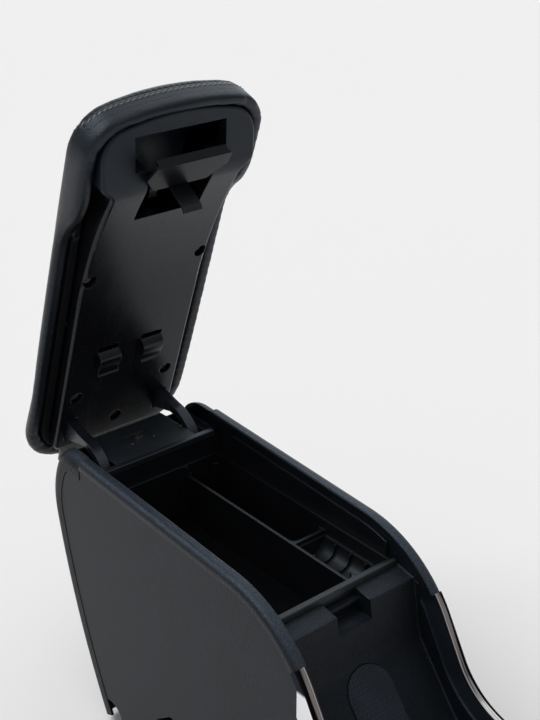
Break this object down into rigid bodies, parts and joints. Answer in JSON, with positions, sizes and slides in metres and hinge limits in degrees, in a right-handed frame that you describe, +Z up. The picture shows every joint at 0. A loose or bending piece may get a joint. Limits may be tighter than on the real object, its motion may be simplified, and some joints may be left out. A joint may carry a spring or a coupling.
{
  "type": "car centre armrest",
  "caption": "Car centre armrest console: a storage box with a padded leather lid on gooseneck hinge arms, a finger latch, a divided tray with a coin trough and chrome-edged front rails.",
  "frame": {"origin": "on the floor, in the middle of the four floor bolts, on the plane between the left and right rims", "axes": "+Z up, -Y to the front of the car, +X to the right seen from behind"},
  "size_m": [0.178, 0.5059, 0.6189],
  "materials": {
    "grained_plastic": "fine grain, dark blue-grey",
    "panel_plastic": "fine grain, warm dark grey",
    "liner_plastic": "smooth, near black",
    "felt": "flocked, near black",
    "rubber": "dimpled, dark grey",
    "strip_plastic": "smooth, grey-brown",
    "rail_plastic": "smooth, dark blue-grey",
    "chrome": "bright",
    "satin_plastic": "satin, dark grey",
    "screw_steel": "dull zinc",
    "bracket_steel": "black paint",
    "arm_paint": "satin black paint",
    "spring_steel": "bright strip",
    "paddle_plastic": "satin gloss, dark grey",
    "leather": "soft charcoal leather with a light seam stitch"
  },
  "bodies": {
    "console": {"console_frame": "grained_plastic", "rear_cover": "grained_plastic", "left_panel": "panel_plastic", "right_panel": "panel_plastic", "bin_liner": "liner_plastic", "storage_tray": "liner_plastic", "tray_mats": "felt", "front_mat": "rubber", "front_strip": "strip_plastic", "left_rail": "rail_plastic", "right_rail": "rail_plastic", "left_chrome": "chrome", "right_chrome": "chrome", "trim_bar": "satin_plastic", "cover_plate": "grained_plastic", "plate_screw": "screw_steel", "left_bracket": "bracket_steel", "right_bracket": "bracket_steel", "bracket_screws": "screw_steel", "hinge_pin": "screw_steel", "hinge_washers": "rail_plastic", "front_floor_bracket": "bracket_steel", "rear_floor_bracket": "bracket_steel"},
    "lid": {"lid_pad": "leather", "lid_core": "liner_plastic", "inner_panel": "satin_plastic", "lid_screws": "screw_steel", "left_arm": "arm_paint", "right_arm": "arm_paint", "arm_screws": "screw_steel", "latch_pin": "screw_steel", "latch_spring": "spring_steel"},
    "latch": {"latch_paddle": "paddle_plastic", "latch_hook": "arm_paint"}
  },
  "joints": [
    {"name": "lid_hinge", "type": "hinge", "parent": "console", "child": "lid", "pos_m": [0, 0.2, 0.24], "axis": [1, 0, 0], "range_deg": [0, 70]},
    {"name": "latch_pivot", "type": "hinge", "parent": "lid", "child": "latch", "pos_m": [0, 0.11635, 0.54584], "axis": [-1, 0, 0], "range_deg": [0, 12], "stiffness_Nm_per_rad": 0.3, "springref_deg": -17.19}
  ]
}
